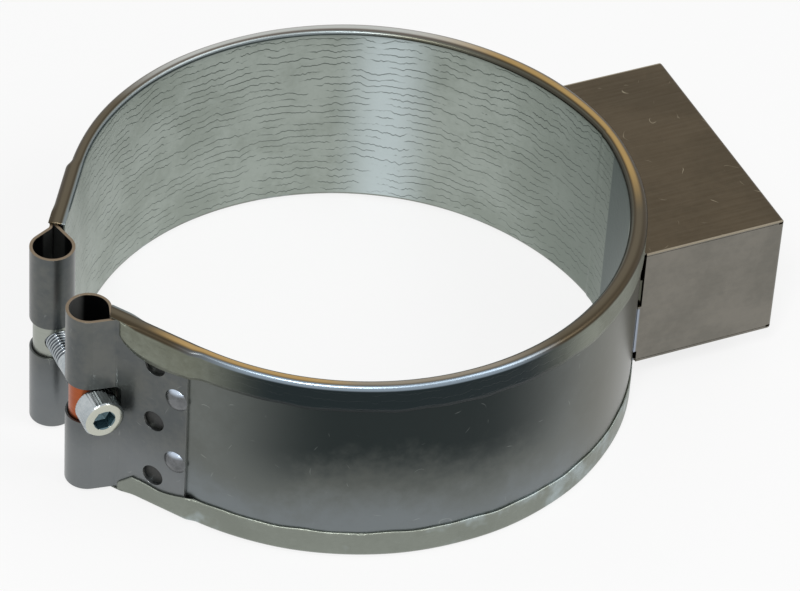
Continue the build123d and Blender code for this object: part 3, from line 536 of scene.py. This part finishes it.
# Sectors of the band: an angle in plan, and how far to each side it is full and reaches
dark_sector = (256.0, 24.0, 45.0)
far_sector = (80.0, 20.0, 48.0)
near_sector = (250.0, 20.0, 42.0)
gold_reflection_sector = (22.0, 30.0, 48.0)
box_sector = (352.0, 34.0, 56.0)
tail_sector = (225.0, 12.0, 24.0)
upper_from, upper_full = 40.0, 56.0
lower_from, lower_full = 16.0, 8.0
wall_roughness, bead_roughness = 0.38, 0.3

zinc_paint, tree, shader, where = new_paint("galvanised_strip", bead_roughness)
shader.inputs["Anisotropic"].default_value = 0.75
round_about = put(tree, "ShaderNodeTangent", direction_type="RADIAL", axis="Z")
tree.links.new(round_about.outputs[0], shader.inputs["Tangent"])
strip_parts = split(tree, put(tree, "ShaderNodeUVMap", uv_map="strip").outputs[0])
along_mm = work_out(tree, "MULTIPLY", strip_parts[0], chart_run)
up_mm = work_out(tree, "MULTIPLY", split(tree, where)[2], 1.0 / mm)
row = work_out(tree, "MULTIPLY", strip_parts[1], last_row)
flat_strip = put(tree, "ShaderNodeCombineXYZ", {0: along_mm, 1: up_mm}).outputs[0]
cloud = use(tree, mottle, Vector=where, Scale=55.0)

# The wall: mottled and crazed, plain and darker behind the box, with one upright painted highlight (a glint)
wall_colour = blend(tree, cloud["Patches"], colour(148, 156, 148), colour(163, 171, 164))
behind_box = within(tree, along_mm, behind_box_run)
cracks = use(tree, crazing, Strip=flat_strip)["Cracks"]
cracks = all_of(tree, cracks, work_out(tree, "SUBTRACT", 1.0, behind_box))
wall_colour = blend(tree, behind_box, wall_colour, colour(88, 98, 95))
wall_colour = glaze(tree, within(tree, along_mm, by_box_run), 0.85, wall_colour, colour(116, 125, 117))
# Painted highlight: a pale upright band in the colour, in place of a lamp's reflection
from_glint = work_out(tree, "ABSOLUTE", work_out(tree, "SUBTRACT", along_mm, glint_at))
glint = between(tree, from_glint, glint_reach, glint_core)
wall_colour = glaze(tree, glint, 0.85, wall_colour, colour(200, 212, 214))
wall_colour = glaze(tree, cracks, 0.85, wall_colour, colour(58, 68, 66))

# The hems: olive grey, with a painted dark reflection high up on two sides, painted lighter low down, and
# painted highlight spots low down
dark_reflection_side = facing_share(tree, where, *dark_sector, opposite=True)
upper = between(tree, up_mm, upper_from, upper_full)
lower = between(tree, up_mm, lower_from, lower_full)
highlight_spot_noise = noise(tree, where, 34.0, 4.0, 0.7)
painted_highlight_spots = all_of(tree, lower, between(tree, highlight_spot_noise, 0.52, 0.68))
hem_colour = blend(tree, cloud["Patches"], colour(112, 115, 102), colour(130, 134, 122))
# Painted dark reflection: dark high up on two sides
hem_colour = blend(tree, all_of(tree, dark_reflection_side, upper), hem_colour, colour(38, 46, 48))
# Painted light: lighter low down, then pale painted highlight spots
hem_colour = glaze(tree, lower, 0.6, hem_colour, colour(140, 146, 140))
hem_colour = glaze(tree, painted_highlight_spots, 0.8, hem_colour, colour(172, 184, 186))

# The top bead: painted reflections which change from sector to sector: a flank, a brown crown,
# a lighter painted highlight line along its keel, golden on one side, and a blue painted highlight on its
# shoulder
near_side = facing_share(tree, where, *near_sector)
far_side = facing_share(tree, where, *far_sector)
gold_reflection_side = facing_share(tree, where, *gold_reflection_sector)
box_side = facing_share(tree, where, *box_sector)
near_tail = facing_share(tree, where, *tail_sector)
shoulder_highlight = all_of(tree, within(tree, row, shoulder_rows), near_side)
# Painted reflections on the flank, crown and keel, and a painted highlight on the shoulder
flank_reflection_colour = blend(tree, gold_reflection_side, colour(120, 128, 130), colour(84, 84, 74))
flank_reflection_colour = blend(tree, box_side, flank_reflection_colour, colour(64, 62, 54))
crown_reflection_colour = blend(tree, far_side, colour(68, 60, 47), colour(104, 97, 90))
keel_highlight_colour = blend(tree, gold_reflection_side, colour(92, 84, 69), colour(166, 138, 88))
keel_highlight_colour = blend(tree, far_side, keel_highlight_colour, colour(186, 188, 184))
keel_highlight_colour = blend(tree, near_side, keel_highlight_colour, colour(144, 136, 122))
keel_highlight_colour = blend(tree, near_tail, keel_highlight_colour, colour(176, 146, 96))
sheet_colour = blend(tree, within(tree, row, wall_rows), hem_colour, wall_colour)
sheet_colour = blend(tree, within(tree, row, flank_rows), sheet_colour, flank_reflection_colour)
sheet_colour = blend(tree, within(tree, row, crown_rows), sheet_colour, crown_reflection_colour)
sheet_colour = blend(tree, within(tree, row, keel_rows), sheet_colour, keel_highlight_colour)
sheet_colour = blend(tree, shoulder_highlight, sheet_colour, colour(134, 148, 160))
lay(tree, shader, sheet_colour)
on_bead = within(tree, row, bead_rows)
gloss = put(tree, "ShaderNodeMapRange", {
    "Value": on_bead, "To Min": wall_roughness, "To Max": bead_roughness})
tree.links.new(gloss.outputs[0], shader.inputs["Roughness"])
dents = work_out(tree, "MULTIPLY_ADD", cracks, -1.0, cloud["Grain"])
dents = work_out(tree, "MULTIPLY", dents, work_out(tree, "SUBTRACT", 1.0, on_bead))
emboss(tree, shader, dents, 0.25, 0.0003)
dress(liner, zinc_paint)
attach(liner, "root")
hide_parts("inner_sheath")

# Inside the band, from the bore outwards: a mica sheet, a mica core wound with a flat
# resistance ribbon, a second mica sheet, and a mica pad behind the terminals. They lie
# loose between the sheaths. The mica's colour holds painted shade: it is as dark as it looks in the straps'
# holes.
mica_paint, tree, shader, where = new_paint("mica_plate", 0.45, 0.0)
cloud = use(tree, mottle, Vector=where, Scale=90.0)
flakes = put(tree, "ShaderNodeTexVoronoi", {"Vector": where, "Scale": 700.0}, feature="F1")
flake_middles = between(tree, flakes.outputs["Distance"], 0.25, 0.1)
leaf = blend(tree, cloud["Patches"], colour(20, 22, 22), colour(32, 33, 31))
lay(tree, shader, blend(tree, flake_middles, leaf, colour(46, 45, 39)))
for name in ("inner_mica", "winding_core", "outer_mica", "terminal_pad"):
    dress(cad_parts[name], mica_paint)


def two_tone(name, roughness, metallic, scale, first, second):
    """A mottled material of two colours."""
    made, tree, shader, where = new_paint(name, roughness, metallic)
    cloud = use(tree, mottle, Vector=where, Scale=scale)
    lay(tree, shader, blend(tree, cloud["Patches"], first, second))
    return made


ribbon_paint = two_tone(
    "resistance_ribbon_metal", 0.3, 1.0, 200.0, colour(104, 98, 92), colour(140, 134, 126))
dress(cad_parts["resistance_ribbon"], ribbon_paint)

# Outer sheath: a plain galvanised sheet wrapped round the mica under both hems, with
# a bridge pressed out of it on each side for the terminal box's tabs. Its skin is
# smoother and darker than the bore's, clouded, and lightly scratched. Its colour also
# holds painted light: lighter low down, a painted dark reflection high up on two
# sides, and painted olive shade on one side.
drift_height = 10.0
low_drift, high_drift = (34.0, 14.0), (24.0, 52.0)
cover_dark_sector, cover_warm_sector = (258.0, 12.0, 43.0), (326.0, 12.0, 34.0)
cover_paint, tree, shader, where = new_paint("wrapped_sheet", 0.3)
up_mm = work_out(tree, "MULTIPLY", split(tree, where)[2], 1.0 / mm)
cloud = use(tree, mottle, Vector=where, Scale=26.0)
drift = work_out(tree, "MULTIPLY_ADD", cloud["Patches"], drift_height, up_mm)
dark_reflection_side = facing_share(tree, where, *cover_dark_sector, opposite=True)
olive_shade_side = facing_share(tree, where, *cover_warm_sector)
dark_high = all_of(tree, dark_reflection_side, between(tree, drift, *high_drift))
marks = use(tree, scratches, Vector=where, Scale=150.0, Rare=0.66)["Scratches"]
skin = blend(tree, cloud["Patches"], colour(96, 99, 95), colour(106, 110, 107))
# Painted light: lighter low down
skin = blend(tree, between(tree, drift, *low_drift), skin, colour(118, 124, 126))
# Painted dark reflection high up on two sides
skin = blend(tree, dark_high, skin, colour(42, 48, 48))
# Painted olive shade on one side
skin = glaze(tree, olive_shade_side, 0.8, skin, colour(88, 88, 76))
skin = glaze(tree, marks, 0.5, skin, colour(170, 176, 172))
lay(tree, shader, skin)
emboss(tree, shader, noise(tree, where, 18.0, 1.0), 0.3, 0.002)
dress(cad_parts["outer_sheath"], cover_paint)

# Lugs: one steel strap on each end of the band, folded back on itself round a barrel
# nut. The cut edges at the top are left raw and painted a warm grey, partly the
# warm reflection they show; the ends by the rivets are paler and the low part lighter,
# both painted light; and the insides of the loops are dark with painted shade.
loops = {"head_lug": (head, -0.095313, -0.019870), "nut_lug": (nut, -0.095298, 0.010901)}
loop_edge, loop_inside = 0.0066, 0.0062
low_from, low_full = 0.034, 0.012
raw_from, raw_full = 0.0670, 0.0674
strap_rounding, tray_rounding = 0.00014, 0.00012
flat_within, sharp_from = 0.5, 38.0


def softened(node, name, width):
    """A copy of a node's mesh, merged, its flat stretches joined, and its sharp edges rounded.
    Its normals are weighted by area, so that the flat faces stay flat."""
    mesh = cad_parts[node].data.copy()
    mesh.name = name
    shape = bmesh.new()
    shape.from_mesh(mesh)
    bmesh.ops.remove_doubles(shape, verts=shape.verts, dist=same_place)
    bmesh.ops.dissolve_limit(
        shape, angle_limit=math.radians(flat_within), verts=shape.verts, edges=shape.edges)
    shape.to_mesh(mesh)
    shape.free()
    mesh.polygons.foreach_set("use_smooth", np.ones(len(mesh.polygons), bool))
    piece = bpy.data.objects.new(name, mesh)
    bpy.context.scene.collection.objects.link(piece)
    rounding = piece.modifiers.new("rounding", "BEVEL")
    rounding.width = width
    rounding.segments = 2
    rounding.limit_method = "ANGLE"
    rounding.angle_limit = math.radians(sharp_from)
    weighting = piece.modifiers.new("flat_faces_stay_flat", "WEIGHTED_NORMAL")
    weighting.weight = 100
    weighting.keep_sharp = True
    return piece


def looking(tree):
    """Which way a surface faces, and how far up that points."""
    facing = put(tree, "ShaderNodeNewGeometry").outputs["Normal"]
    return facing, split(tree, facing)[2]


def off_line(tree, where, middle, kept):
    """How far a place is from a line: the parts to keep of the way to it from a point on the line."""
    away = vector_work(tree, "SUBTRACT", where, middle)[0]
    return vector_work(tree, "LENGTH", vector_work(tree, "MULTIPLY", away, kept)[0])["Value"]


for node, (end, loop_x, loop_y) in loops.items():
    strap_paint, tree, shader, where = new_paint(node + "_steel", 0.3, 0.85)
    height = split(tree, where)[2]
    facing, facing_up = looking(tree)
    cloud = use(tree, mottle, Vector=where, Scale=48.0)
    reach = off_line(tree, where, (loop_x, loop_y, 0.0), (1.0, 1.0, 0.0))
    end_way = (*unit(end["angle"] - 90.0 * end["turn"]), 0.0)
    at_end = between(tree, vector_work(tree, "DOT_PRODUCT", facing, end_way)["Value"], 0.7, 0.95)
    raw = all_of(tree, between(tree, facing_up, 0.45, 0.8), between(tree, height, raw_from, raw_full))
    marks = use(tree, scratches, Vector=where, Scale=170.0, Rare=0.64)["Scratches"]
    skin = blend(tree, cloud["Patches"], colour(82, 86, 87), colour(98, 100, 97))
    # Painted light: lighter towards the bottom
    skin = glaze(tree, between(tree, height, low_from, low_full), 0.7, skin, colour(122, 126, 128))
    # Painted shade inside the loops
    skin = blend(tree, between(tree, reach, loop_edge, loop_inside), skin, colour(26, 27, 28))
    # Painted light: the end faces by the rivets are paler
    skin = blend(tree, at_end, skin, colour(166, 168, 166))
    # Raw cut edges at the top, with a painted warm reflection on the faces that look up
    skin = blend(tree, raw, skin, colour(124, 110, 92))
    skin = glaze(tree, marks, 0.5, skin, colour(170, 172, 170))
    lay(tree, shader, skin)
    emboss(tree, shader, cloud["Grain"], 0.2, 0.0002)
    strap = softened(node, node.replace("lug", "strap"), strap_rounding)
    dress(strap, strap_paint)
    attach(strap, "root")
    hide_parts(node)

# Rivets: two zinc plated domes hold each strap to the outer sheath. The upper part of
# a dome has a painted highlight and its underside has painted shade.
rivet_paint, tree, shader, where = new_paint("rivet_zinc", 0.22)
cloud = use(tree, mottle, Vector=where, Scale=300.0)
facing_up = looking(tree)[1]
dome = blend(tree, cloud["Patches"], colour(92, 94, 95), colour(114, 116, 118))
# Painted highlight on the upper part of the dome, painted shade underneath
dome = blend(tree, between(tree, facing_up, 0.4, 0.68), dome, colour(192, 204, 220))
dome = blend(tree, between(tree, facing_up, -0.25, -0.7), dome, colour(74, 76, 78))
lay(tree, shader, dome)
emboss(tree, shader, cloud["Patches"], 0.25, 0.0002)
for name in ("head_lug_rivets", "nut_lug_rivets"):
    dress(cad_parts[name], rivet_paint)

# Barrel nuts: turned bar, cut to length and chamfered. The head's is coppered and drilled
# plain, the nut's is zinc plated and threaded.
turning_marks = (120.0, 120.0, 2600.0)
for name, first, second in (
        ("head_trunnion", colour(140, 70, 40), colour(176, 96, 58)),
        ("nut_trunnion", colour(146, 150, 142), colour(164, 168, 160))):
    bar_paint, tree, shader, where = new_paint(name + "_finish", 0.32)
    rings = noise(tree, vector_work(tree, "MULTIPLY", where, turning_marks)[0], 1.0, 2.0)
    lay(tree, shader, blend(tree, rings, first, second))
    emboss(tree, shader, rings, 0.3, 0.0001)
    dress(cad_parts[name], bar_paint)

# Clamp screw: a zinc plated M8 socket head cap screw with a knurled head, a plain neck
# and a rolled thread. Its head bears on the head's barrel nut and it draws the two
# lugs together. Sizes are in millimetres, along the screw from its seat.
seat = np.array((-95.3130, -25.8700, 34.2))
axis = np.array((0.000486, 0.99999988, 0.0))
thread_pitch, thread_crest, thread_root = 1.25, 3.97, 3.32
thread_from, thread_to, thread_fade, shank_end = 20.5, 44.2, 2.0, 45.0
rows_a_turn, flank_slope, root_flat = 10, 2.6, 0.3
head_round, head_deep, head_edge = 6.48, 7.98, 0.7
knurl_deep, knurl_columns = 0.14, 3
socket_half, socket_deep, socket_cone = 3.0, 4.0, 0.9
columns = 120
sixth, twelfth = math.pi / 3, math.pi / 6
head_side, head_face, socket_floor = head_edge - head_deep, -head_deep, socket_deep - head_deep
swing = np.radians(np.arange(columns) * full_turn / columns)
hexagon = socket_half / np.cos((swing + twelfth) % sixth - twelfth)
# Outlines as pairs of a place along the screw and a radius
tip_outline = ((shank_end, 0.0), (shank_end, 2.9), (shank_end - 0.05, 3.05))
head_outline = (
    (thread_from - 0.3, thread_crest), (0.3, thread_crest), (0.02, 4.3), (0.0, 6.2), (-0.06, 6.38),
    (-0.2, head_round), (-0.35, head_round), (head_side, head_round),
    (head_side - 0.12, head_round - 0.05), (head_face + 0.1, head_round - head_edge + 0.05),
    (head_face, head_round - head_edge - 0.1), (head_face, 4.1))
# Pairs of a place along the screw and a share of the hexagon
socket_outline = (
    (head_face, 1.12), (head_face + 0.06, 1.06), (head_face + 0.3, 1.0), (socket_floor - 0.1, 1.0),
    (socket_floor, 0.97), (socket_floor + socket_cone, 0.0))
# The thread: a groove that runs round the shank once in each pitch
thread_along = np.arange(thread_to, thread_from, -thread_pitch / rows_a_turn)
deep_share = eased(thread_along, thread_from, thread_from + thread_fade)[:, None]
turn_share = (thread_along[:, None] / thread_pitch + swing[None, :] / (2 * math.pi)) % 1.0
crest_share = np.clip(np.abs(turn_share - 0.5) * flank_slope - root_flat, 0.0, 1.0)
thread = thread_crest - (thread_crest - thread_root) * (1.0 - crest_share) * deep_share
all_round = np.ones(columns)
level = np.concatenate([
    [place for place, radius in tip_outline], thread_along, [place for place, radius in head_outline],
    [place for place, share in socket_outline]])
spread = np.concatenate([
    np.array([radius * all_round for place, radius in tip_outline]), thread,
    np.array([radius * all_round for place, radius in head_outline]),
    np.array([share * hexagon for place, share in socket_outline])])
knurled = (level < -0.3) & (level >= head_side - 0.01)
spread = spread - knurl_deep * knurled[:, None] * (np.arange(columns) % knurl_columns == 0)[None, :]
upright = np.array((0.0, 0.0, 1.0))
spoke = np.cos(swing)[:, None] * upright + np.sin(swing)[:, None] * np.cross(axis, upright)
places = seat + level[:, None, None] * axis + spread[..., None] * spoke[None]
screw = finish_mesh("cap_screw", places.reshape(-1, 3) * mm, skin_quads(spread.shape, wrapped=True))

# Places of its colours in metres, on Y and out from its axis
face_from, face_full = -0.0335, -0.0337
socket_edge, socket_inside, socket_from, socket_full = 0.0036, 0.0034, -0.0290, -0.0292
groove_edge, groove_inside, groove_from, groove_full = 0.0039, 0.0034, -0.0200, -0.0190
screw_paint, tree, shader, where = new_paint("bright_zinc_plate", 0.2)
cloud = use(tree, mottle, Vector=where, Scale=160.0)
level_y = split(tree, where)[1]
reach = off_line(tree, where, (seat[0] * mm, 0.0, seat[2] * mm), (1.0, 0.0, 1.0))
in_socket = all_of(
    tree, between(tree, reach, socket_edge, socket_inside), between(tree, level_y, socket_from, socket_full))
in_groove = all_of(
    tree, between(tree, reach, groove_edge, groove_inside), between(tree, level_y, groove_from, groove_full))
plate = blend(tree, cloud["Patches"], colour(158, 166, 170), colour(182, 188, 190))
plate = blend(tree, between(tree, level_y, face_from, face_full), plate, colour(190, 192, 180))
# Painted bluish shade in the socket, and painted shade in the thread's grooves
plate = blend(tree, in_socket, plate, colour(92, 112, 118))
plate = blend(tree, in_groove, plate, colour(58, 64, 72))
lay(tree, shader, plate)
dress(screw, screw_paint)
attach(screw, "clamp_screw")
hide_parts("clamp_screw")

# Terminal box: one folded tray of thin steel sheet, butt seamed at its end walls and
# hooked to the outer sheath by two bent tabs. Its top is lightly scratched and brown
# with a painted reflection, its walls are grey, and the cut edges at the seams and
# beside the sheath are paler.
rolling_marks = (60.0, 900.0, 900.0)
seam_up_from, seam_up_full = 0.0550, 0.0553
seam_out_from, seam_out_full = 0.0427, 0.0430
tab_side_edge, tab_side_full, tab_up_edge, tab_up_full = 0.0803, 0.0798, 0.0340, 0.0332
box_paint, tree, shader, where = new_paint("folded_tray_steel", 0.34)
parts = split(tree, where)
lines = noise(tree, vector_work(tree, "MULTIPLY", where, rolling_marks)[0], 1.0, 3.0)
cloud = use(tree, mottle, Vector=where, Scale=42.0)
facing_up = looking(tree)[1]
seam_up = between(tree, parts[2], seam_up_from, seam_up_full)
seam_out = between(tree, work_out(tree, "ABSOLUTE", parts[1]), seam_out_from, seam_out_full)
by_sheath = all_of(
    tree, between(tree, parts[0], tab_side_edge, tab_side_full),
    between(tree, parts[2], tab_up_edge, tab_up_full))
marks = use(tree, scratches, Vector=where, Scale=150.0, Rare=0.62)["Scratches"]
marks = all_of(tree, marks, between(tree, facing_up, 0.5, 0.9))
side = blend(tree, cloud["Patches"], colour(110, 108, 102), colour(124, 121, 114))
top = blend(tree, cloud["Patches"], colour(68, 58, 43), colour(78, 67, 51))
# Painted reflection: the faces that look up are brown, the walls grey
tray = blend(tree, between(tree, facing_up, 0.55, 0.9), side, top)
tray = glaze(tree, lines, 0.15, tray, colour(150, 142, 124))
tray = blend(tree, all_of(tree, seam_up, seam_out), tray, colour(150, 141, 124))
tray = blend(tree, by_sheath, tray, colour(150, 158, 170))
tray = glaze(tree, marks, 0.6, tray, colour(190, 180, 156))
lay(tree, shader, tray)
emboss(tree, shader, lines, 0.15, 0.0001)
tray_piece = softened("terminal_box", "folded_tray", tray_rounding)
dress(tray_piece, box_paint)
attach(tray_piece, "root")
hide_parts("terminal_box")

# Terminals and earth: steatite bushes in the outer sheath, and zinc plated steel
# studs, washers and nuts, all inside the box.
bush_paint = two_tone("steatite", 0.55, 0.0, 260.0, colour(206, 200, 184), colour(224, 219, 205))
dress(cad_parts["terminal_bushes"], bush_paint)
stud_paint = two_tone("zinc_fastener", 0.26, 1.0, 280.0, colour(150, 154, 152), colour(178, 182, 180))
for name in (
        "terminal_studs", "terminal_washers", "terminal_nuts", "earth_stud", "earth_washer", "earth_nut"):
    dress(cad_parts[name], stud_paint)

# Cable gland: nickel plated brass, its body through the box's far end wall with a
# lock nut inside and a cap outside.
gland_paint = two_tone("nickel_on_brass", 0.22, 1.0, 150.0, colour(168, 162, 148), colour(188, 183, 170))
for name in ("gland_body", "gland_cap", "gland_lock_nut"):
    dress(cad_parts[name], gland_paint)
